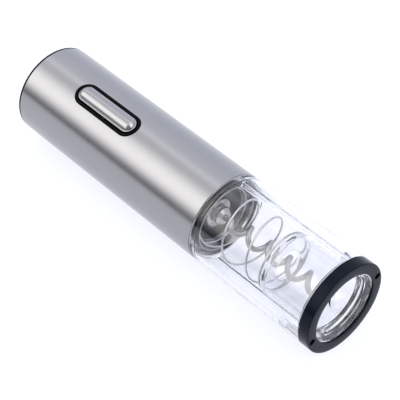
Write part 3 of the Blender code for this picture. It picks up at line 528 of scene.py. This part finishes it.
def make_steel_tube():
    start, end = stations("steel_tube")
    inner = RADIUS - TUBE_WALL
    edge = 0.2 * MM
    bm = lathe([(start, inner, 0), (start, RADIUS, edge), (end, RADIUS, edge), (end, inner, 0)])
    low, high = stations("button_bezel")
    path = long_path(low - GAP, high + GAP, BUTTON_WIDTH + 2 * GAP)
    bm = cut(bm, prism([point for point, _ in path], RADIUS / 2, RADIUS + 5 * MM))
    piece = add_piece("steel_tube", bm, LOOKS["brushed_steel"], "casing")
    exact_normals(piece, RADIUS, inner)


def make_battery_cap():
    start, end = stations("battery_cap")
    flange = RADIUS - CAP_INSET
    skirt = RADIUS - CAP_SKIRT_INSET
    skirt_inner = skirt - CAP_SKIRT_WALL
    lip = start + CAP_FLANGE_THICKNESS
    floor = start + CAP_FLOOR
    recess = start + CAP_RECESS
    bm = lathe([
        (recess, 0, 0),
        (recess, CAP_GROOVE - MM, 0.2 * MM),
        (start, CAP_GROOVE, 0.2 * MM),
        (start, flange, 0.5 * MM),
        (lip, flange, 0.1 * MM),
        (lip, skirt, 0),
        (end, skirt, 0.3 * MM),
        (end, skirt_inner, 0.3 * MM),
        (floor, skirt_inner, 0.3 * MM),
        (floor, 0, 0),
    ])
    half = COIN_SLOT_LENGTH / 2
    outline = [point for point, _ in long_path(-half, half, COIN_SLOT_WIDTH)]
    slot = prism(outline, -MM, COIN_SLOT_DEPTH)
    slot.transform(Matrix.Rotation(pi / 2, 4, "Y"))
    add_piece("battery_cap", cut(bm, slot), LOOKS["black_plastic"], "cap")


def rail_outline(root):
    """A round bead on a thinner web, whose root flares where it meets the wall."""
    half = RAIL_WIDTH / 2
    bead = RAIL_INNER + half
    opening = asin(RAIL_WEB / half)
    steps = 20
    turns = [opening + (2 * pi - 2 * opening) * k / steps for k in range(steps + 1)]
    outline = [(bead + half * cos(turn), half * sin(turn)) for turn in turns]
    flare = [
        (root - RAIL_FLARE, -RAIL_WEB),
        (root - 0.8 * MM, -RAIL_WEB - 0.15 * MM),
        (root, -RAIL_ROOT),
    ]
    return outline + flare + [(y, -z) for y, z in flare[::-1]]


def make_clear_housing():
    start, end = stations("clear_housing")
    seam = stations("steel_tube")[1] + GAP
    inner = RADIUS - HOUSING_WALL
    spigot = RADIUS - TUBE_WALL - GAP
    spigot_inner = spigot - SPIGOT_WALL
    shoulder = seam + SHOULDER_LENGTH
    edge = 0.25 * MM
    bm = lathe([
        (start, spigot_inner, 0.2 * MM),
        (start, spigot, 0.3 * MM),
        (seam, spigot, 0.2 * MM),
        (seam, RADIUS, edge),
        (end, RADIUS, edge),
        (end, inner, edge),
        (shoulder, inner, 0.3 * MM),
        (shoulder - SHOULDER_SLOPE, spigot_inner, 0.3 * MM),
    ])
    front = end - GAP
    for side in (1, -1):
        centre = (side * SCREW_RADIUS, 0)
        bm = join(bm, prism(circle(PILLAR_RADIUS, centre), PILLAR_START, front, "X"))
        bore = prism(circle(SCREW_BORE, centre), end - PILLAR_BORE_DEPTH, end + MM, "X")
        bm = cut(bm, bore)
        turn = RAIL_ANGLE if side > 0 else RAIL_ANGLE + pi
        rail = prism(rail_outline(inner + RAIL_SUNK), shoulder + GAP, front, "X")
        rail.transform(Matrix.Rotation(turn, 4, "X"))
        bm = join(bm, rail)
    piece = add_piece("clear_housing", bm, LOOKS["clear_plastic"], "casing")
    exact_normals(piece, RADIUS, inner)


def make_end_ring():
    start, end = stations("end_ring")
    lip = end - RING_LIP
    bm = lathe([
        (start, RING_SOCKET, 0.1 * MM),
        (start, RADIUS, 0.15 * MM),
        (end, RADIUS, 0.45 * MM),
        (end, OPENING_RADIUS, 0.35 * MM),
        (lip, OPENING_RADIUS, 0.1 * MM),
        (lip, RING_SOCKET, 0),
    ])
    well_floor = end - SCREW_WELL_DEPTH
    for side in (1, -1):
        centre = (side * SCREW_RADIUS, 0)
        bm = cut(bm, prism(circle(SCREW_WELL, centre), well_floor, end + MM, "X"))
        bore = prism(circle(SCREW_BORE, centre), start - MM, well_floor + 1.2 * MM, "X")
        bm = cut(bm, bore)
    piece = add_piece("end_ring", bm, LOOKS["black_plastic"], "casing")
    exact_normals(piece, RADIUS)


def make_ring_screws():
    long, wide = CROSS_LENGTH / 2, CROSS_WIDTH / 2
    for side, word in ((1, "left"), (-1, "right")):
        name = f"ring_screw_{word}"
        start, end = stations(name)
        head = end - SCREW_HEAD_HEIGHT
        bm = lathe([
            (start, 0, 0),
            (start + MM, SCREW_SHANK, 0.2 * MM),
            (head, SCREW_SHANK, 0),
            (head, SCREW_HEAD, 0.15 * MM),
            (end - 0.35 * MM, SCREW_HEAD - 0.1 * MM, 0.4 * MM),
            (end, 0, 0),
        ], 40)
        for turn in (0, pi / 2):
            low = (end - CROSS_DEPTH, -long, -wide)
            bm = cut(bm, block(low, (end + MM, long, wide), turn + CROSS_ANGLE))
        bm.transform(Matrix.Translation((0, side * SCREW_RADIUS, 0)))
        add_piece(name, bm, LOOKS["zinc_steel"], "casing")


# Button


def make_button_bezel():
    """A rounded strip bent round the slot, its height following the tube."""
    start, end = stations("button_bezel")
    half = BEZEL_RIM / 2
    section = rounded([
        (half, -BEZEL_DEPTH, 0),
        (half, BEZEL_HEIGHT, 0.3 * MM),
        (-half, BEZEL_HEIGHT, 0.6 * MM),
        (-half, -BEZEL_DEPTH, 0),
    ], 6)
    path = long_path(start + half, end - half, BUTTON_WIDTH - BEZEL_RIM, 32)
    bm = bmesh.new()
    rings = []
    for offset, height in section:
        ring = []
        for point, out in path:
            x, y = point + out * offset
            ring.append(bm.verts.new((x, y, sqrt((RADIUS + height) ** 2 - y * y))))
        rings.append(ring)
    skin(bm, rings)
    add_piece("button_bezel", bm, LOOKS["gloss_black"], "casing")


def make_rocker_button():
    """A domed crown on a flat shoulder, drawn as rings round the long line of its middle."""
    start, end = stations("rocker_button")
    middle = (start + end) / 2
    edge = BUTTON_WIDTH / 2 - BEZEL_RIM - GAP
    reach = (end - start) / 2 - edge
    low = ROCKER_UNDERSIDE
    steps = 14
    steepest = asin(ROCKER_DOME_EDGE / ROCKER_DOME)
    ridge = 0.01  # slope left at the top, so that the last ring keeps a width
    corners = [
        (edge - 0.5 * MM, low, 0),
        (edge, low, 0.2 * MM),
        (edge, ROCKER_SHOULDER, 0.35 * MM),
        (ROCKER_DOME_EDGE + 0.1 * MM, ROCKER_SHOULDER, 0.15 * MM),
    ]
    for k in range(steps + 1):
        slope = steepest * (1 - k / steps) + ridge
        height = ROCKER_TOP - ROCKER_DOME * (1 - cos(slope))
        corners.append((ROCKER_DOME * sin(slope), height, 0.0 if k else 0.25 * MM))
    bm = bmesh.new()
    rings = []
    for away, height in rounded(corners):
        path = long_path(middle - reach - away, middle + reach + away, 2 * away)
        rings.append([bm.verts.new((point.x, point.y, height)) for point, _ in path])
    skin(bm, rings, closed=False)
    long, wide = ROCKER_LUG_LENGTH / 2, ROCKER_LUG_WIDTH / 2
    low_corner = (middle - long, -wide, ROCKER_PIVOT - 2 * MM)
    bm = join(bm, block(low_corner, (middle + long, wide, ROCKER_LUG_TOP)))
    hole = prism(circle(PIN_HOLE_RADIUS, sides=24), -10 * MM, 10 * MM)
    across = Matrix.Rotation(pi / 2, 4, "X")
    hole.transform(Matrix.Translation((middle, 0, ROCKER_PIVOT)) @ across)
    add_piece("rocker_button", cut(bm, hole), LOOKS["satin_silver"], "rocker", 25)


# Worm and guide


def make_worm_hub():
    start, end = stations("worm_hub")
    shaft_end = stations("output_carrier")[1] + GAP
    radius = outer_radius("worm_hub")
    shank = WORM_WIRE + GAP
    bm = lathe([
        (start, SHAFT_BORE, 0.1 * MM),
        (start, radius, 0.4 * MM),
        (end - HUB_TAPER, radius, 0.8 * MM),
        (end, radius - HUB_TAPER, 0.5 * MM),
        (end, shank, 0.1 * MM),
        (shaft_end, shank, 0),
        (shaft_end, SHAFT_BORE, 0),
    ], FINE_SIDES)
    add_piece("worm_hub", bm, LOOKS["satin_silver"], "spindle")


def make_worm():
    """A straight shank that swings out to a right-handed helix and narrows to a point."""
    start, tip = stations("worm")
    shank_end = start + WORM_SHANK
    per_turn = 36
    step = WORM_PITCH / per_turn
    points, radii = [], []
    for i in range(int((tip - start) / step) + 1):
        station = start + step * i
        share = min(1.0, max(0.0, (station - shank_end) / WORM_SWELL))
        coil = WORM_RADIUS * share * share * (3 - 2 * share)
        points.append(around(station, coil, WORM_START_ANGLE + 2 * pi * i / per_turn))
        radii.append(WORM_WIRE * min(1.0, WORM_POINT + (tip - station) / WORM_TAPER))
    darken_towards(LOOKS["worm"], CAD_LOW.x + tip)
    add_piece("worm", wire(points, radii, 18), LOOKS["worm"], "spindle")


def make_spring_seat():
    """A sleeve with a flange outwards and a shelf inwards, on which the spring stands."""
    start, end = stations("spring_seat")
    flange = outer_radius("spring_seat")
    inner = SEAT_RADIUS - SEAT_WALL
    narrow = inner - 0.2 * MM
    floor = start + SEAT_SHELF_THICKNESS
    flange_front = start + SEAT_FLANGE_THICKNESS
    bm = lathe([
        (start, SEAT_SHELF, 0.2 * MM),
        (start, flange, 0.3 * MM),
        (flange_front, flange, 0.3 * MM),
        (flange_front, SEAT_RADIUS, 0.8 * MM),
        (end, SEAT_RADIUS, 0.25 * MM),
        (end, inner + 0.4 * MM, 0.2 * MM),
        (end - SEAT_FLARE, narrow, 1.5 * MM),
        (floor, narrow, 0.6 * MM),
        (floor, SEAT_SHELF, 0.2 * MM),
    ])
    add_piece("spring_seat", bm, LOOKS["chrome"], "casing")


def make_gearbox_cover():
    start, end = stations("gearbox_cover")
    bore = BUSHING_RADIUS + GAP
    rim = COVER_RADIUS
    edge = 0.3 * MM
    bm = lathe([(start, bore, edge), (start, rim, edge), (end, rim, edge), (end, bore, edge)])
    add_piece("gearbox_cover", bm, LOOKS["black_plastic"], "casing")


def make_output_bushing():
    """A sleeve through the gearbox cover, with a flange in front of it."""
    start, end = stations("output_bushing")
    seat = stations("gearbox_cover")[1] + GAP
    bm = lathe([
        (start, SHAFT_BORE, 0.1 * MM),
        (start, BUSHING_RADIUS, 0.2 * MM),
        (seat, BUSHING_RADIUS, 0),
        (seat, BUSHING_FLANGE, 0.1 * MM),
        (end, BUSHING_FLANGE, 0.35 * MM),
        (end, SHAFT_BORE, 0.1 * MM),
    ], FINE_SIDES)
    add_piece("output_bushing", bm, LOOKS["satin_silver"], "casing")


def make_guide_spring():
    """A right-handed spring with a dead turn at each end, ending just short of the cup."""
    end = stations("guide_cup")[0] - SPRING_END_GAP
    per_turn = 48
    pitch = (end - SPRING_START - 2 * SPRING_DEAD_PITCH) / SPRING_FREE_TURNS
    station = SPRING_START
    points = []
    for i in range(int((SPRING_FREE_TURNS + 2) * per_turn) + 1):
        turn = i / per_turn
        points.append(around(station, SPRING_RADIUS, SPRING_START_ANGLE + 2 * pi * turn))
        free = 1 <= turn < 1 + SPRING_FREE_TURNS
        station += (pitch if free else SPRING_DEAD_PITCH) / per_turn
    bm = wire(points, [SPRING_WIRE] * len(points), 12)
    spring = add_piece("guide_spring", bm, LOOKS["spring_steel"], "casing")
    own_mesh(spring)


def make_guide_cup():
    """A cup whose flange slides in the housing and whose stepped nose rests in the end ring."""
    start, nose = stations("guide_cup")
    end = stations("clear_housing")[1] - CUP_FLANGE_GAP
    flange_back = end - CUP_FLANGE_THICKNESS
    floor = start + CUP_BOTTOM
    corners = [
        (start, CUP_HOLE, 0.4 * MM),
        (start, CUP_RADIUS, 0.8 * MM),
        (flange_back, CUP_RADIUS, 0.3 * MM),
        (flange_back, CUP_FLANGE, 0.3 * MM),
        (end, CUP_FLANGE, 0.3 * MM),
        (end, NOSE_RADIUS, 0.3 * MM),
        (nose, NOSE_RADIUS, 0.2 * MM),
    ]
    station = nose
    radius = NOSE_RADIUS - NOSE_EDGE
    for _ in range(NOSE_STEPS):
        corners.append((station, radius, 0.1 * MM))
        radius -= NOSE_STEP_WIDTH
        corners.append((station - NOSE_TREAD_LENGTH, radius, 0.1 * MM))
        station -= NOSE_STEP_LENGTH
    corners += [
        (station - NOSE_CONE_START, radius, 0.5 * MM),
        (station - NOSE_CONE_END, CUP_BORE, 0.8 * MM),
        (floor, CUP_BORE, 0.8 * MM),
        (floor, CUP_HOLE, 0.4 * MM),
    ]
    bm = lathe(corners)
    back = start - MM
    front = nose + MM
    notch = CUP_NOTCH_HALF
    groove = RAIL_WIDTH / 2 + 1.5 * GAP
    for turn in (0, pi):
        low = (back, NOSE_RADIUS + 0.1 * MM, -notch)
        bm = cut(bm, block(low, (front, RADIUS, notch), turn))
        low = (back, RAIL_INNER - GAP, -groove)
        bm = cut(bm, block(low, (front, RADIUS, groove), turn + RAIL_ANGLE))
    piece = add_piece("guide_cup", bm, LOOKS["cup_plastic"], "guide")
    exact_normals(piece, CUP_RADIUS, CUP_BORE, CUP_FLANGE, NOSE_RADIUS)


# Stage


CAMERA_AZIMUTH = radians(47.17)
CAMERA_ELEVATION = radians(45)
CAMERA_DISTANCE = 0.6643
CAMERA_LENS = 125.14
CAMERA_SENSOR = 36
CAMERA_TARGET = Vector((0.0087, -0.0007, AXIS_HEIGHT))


def make_camera():
    camera = bpy.data.objects.new("camera", bpy.data.cameras.new("camera"))
    camera.data.lens = CAMERA_LENS
    camera.data.sensor_width = CAMERA_SENSOR
    away = Vector((
        sin(CAMERA_AZIMUTH) * cos(CAMERA_ELEVATION),
        -cos(CAMERA_AZIMUTH) * cos(CAMERA_ELEVATION),
        sin(CAMERA_ELEVATION),
    ))
    camera.location = CAMERA_TARGET + away * CAMERA_DISTANCE
    camera.rotation_euler = (pi / 2 - CAMERA_ELEVATION, 0, CAMERA_AZIMUTH)
    bpy.context.scene.collection.objects.link(camera)
    bpy.context.scene.camera = camera


# The studio's light by angle round the opener's axis, in degrees from straight up towards -Y:
# behind the opener's back end, and in front of its opening.
REAR_LIGHT = [
    (-180, (0.40, 0.42, 0.50)),
    (-95, (0.38, 0.41, 0.50)),
    (-60, (0.40, 0.41, 0.47)),
    (-24, (0.48, 0.48, 0.53)),
    (-15, (0.66, 0.66, 0.72)),
    (-6, (0.50, 0.50, 0.53)),
    (3, (0.42, 0.42, 0.44)),
    (14, (0.55, 0.55, 0.57)),
    (28, (0.86, 0.86, 0.86)),
    (40, (1.0, 0.98, 0.96)),
    (56, (1.0, 0.97, 0.95)),
    (68, (0.63, 0.62, 0.63)),
    (78, (0.22, 0.22, 0.24)),
    (88, (0.04, 0.04, 0.05)),
    (180, (0.04, 0.04, 0.05)),
]
FRONT_LIGHT = [
    (-180, (0.40, 0.42, 0.50)),
    (-95, (0.38, 0.41, 0.50)),
    (-60, (0.40, 0.41, 0.47)),
    (-35, (0.5, 0.5, 0.54)),
    (-24, (0.95, 0.95, 0.96)),
    (4, (0.98, 0.98, 0.98)),
    (16, (0.3, 0.3, 0.31)),
    (30, (0.16, 0.16, 0.17)),
    (70, (0.14, 0.14, 0.15)),
    (88, (0.06, 0.06, 0.07)),
    (180, (0.06, 0.06, 0.07)),
]
END_LIGHT = (0.36, 0.36, 0.37, 1)  # along the axis, both ways
STUDIO_STRENGTH = 2.62
FRONT_FADE = (0.0, 0.35)  # share of +X in a direction, from the rear light to the front one
END_FADE = (0.86, 0.97)  # share of X either way, from those to the end light

FLOOR_COLOUR = (0.22, 0.22, 0.22, 1)
FLOOR_GLOW = (0.955, 0.977, 1.08, 1)
FLOOR_GLOW_LEAST = 0.38  # far towards -Y
FLOOR_GLOW_RISE = 0.44
FLOOR_GLOW_FADE = (-0.9, -0.2)  # along Y, over which the glow rises
FLOOR_HALF_SIZE = 3


def band_ramp(tree, share, bands):
    ramp = shader_node(tree, "ShaderNodeValToRGB", {"Fac": share})
    elements = ramp.color_ramp.elements
    while len(elements) < len(bands):
        elements.new(0.5)
    for element, (degrees, colour) in zip(elements, bands):
        element.position = 0.5 + degrees / 360
        element.color = (*colour, 1)
    return ramp.outputs["Color"]


def make_world():
    """A studio whose soft boxes are long strips along the opener."""
    world = bpy.data.worlds.new("studio")
    bpy.context.scene.world = world
    world.use_nodes = True
    tree = world.node_tree
    way = shader_node(tree, "ShaderNodeTexCoord").outputs["Generated"]
    parts = shader_node(tree, "ShaderNodeSeparateXYZ", {"Vector": way}).outputs
    left = shader_node(tree, "ShaderNodeMath", {0: parts["Y"], 1: -1.0}, operation="MULTIPLY")
    sides = {0: left.outputs[0], 1: parts["Z"]}
    angle = shader_node(tree, "ShaderNodeMath", sides, operation="ARCTAN2")
    turn = {"Value": angle.outputs[0], "From Min": -pi, "From Max": pi}
    share = shader_node(tree, "ShaderNodeMapRange", turn).outputs["Result"]
    rear = band_ramp(tree, share, REAR_LIGHT)
    front = band_ramp(tree, share, FRONT_LIGHT)
    strips = mixed(tree, eased(tree, parts["X"], *FRONT_FADE), rear, front)
    along = shader_node(tree, "ShaderNodeMath", {0: parts["X"]}, operation="ABSOLUTE").outputs[0]
    light = mixed(tree, eased(tree, along, *END_FADE), strips, END_LIGHT)
    background = tree.nodes["Background"]
    tree.links.new(light, background.inputs["Color"])
    background.inputs["Strength"].default_value = STUDIO_STRENGTH


def make_floor():
    """A white sheet that glows a little, and whose glow falls off towards -Y."""
    bm = bmesh.new()
    bmesh.ops.create_grid(bm, x_segments=2, y_segments=2, size=FLOOR_HALF_SIZE)
    mesh = bpy.data.meshes.new("floor")
    bm.to_mesh(mesh)
    bm.free()
    floor = bpy.data.objects.new("floor", mesh)
    bpy.context.scene.collection.objects.link(floor)
    made = bpy.data.materials.new("white_sheet")
    made.use_nodes = True
    tree = made.node_tree
    shader = tree.nodes["Principled BSDF"]
    place = shader_node(tree, "ShaderNodeTexCoord").outputs["Object"]
    across = shader_node(tree, "ShaderNodeSeparateXYZ", {"Vector": place}).outputs["Y"]
    rise = eased(tree, across, *FLOOR_GLOW_FADE)
    terms = {0: rise, 1: FLOOR_GLOW_RISE, 2: FLOOR_GLOW_LEAST}
    glow = shader_node(tree, "ShaderNodeMath", terms, operation="MULTIPLY_ADD")
    tree.links.new(glow.outputs[0], shader.inputs["Emission Strength"])
    shader.inputs["Emission Color"].default_value = FLOOR_GLOW
    shader.inputs["Base Color"].default_value = FLOOR_COLOUR
    shader.inputs["Roughness"].default_value = 0.9
    shader.inputs["Specular IOR Level"].default_value = 0.0
    mesh.materials.append(made)


def finish_inner_nodes():
    """The CAD nodes that stay get the finish of their slot."""
    for name, thing in frame["nodes"].items():
        if not thing.hide_render:
            for slot in thing.material_slots:
                slot.material = LOOKS[SLOTS[name]]


bpy.context.scene.view_settings.view_transform = "Standard"

make_camera()
make_world()
make_floor()
make_steel_tube()
make_battery_cap()
make_clear_housing()
make_end_ring()
make_ring_screws()
make_button_bezel()
make_rocker_button()
make_gearbox_cover()
make_output_bushing()
make_worm_hub()
make_worm()
make_spring_seat()
make_guide_spring()
make_guide_cup()
finish_inner_nodes()
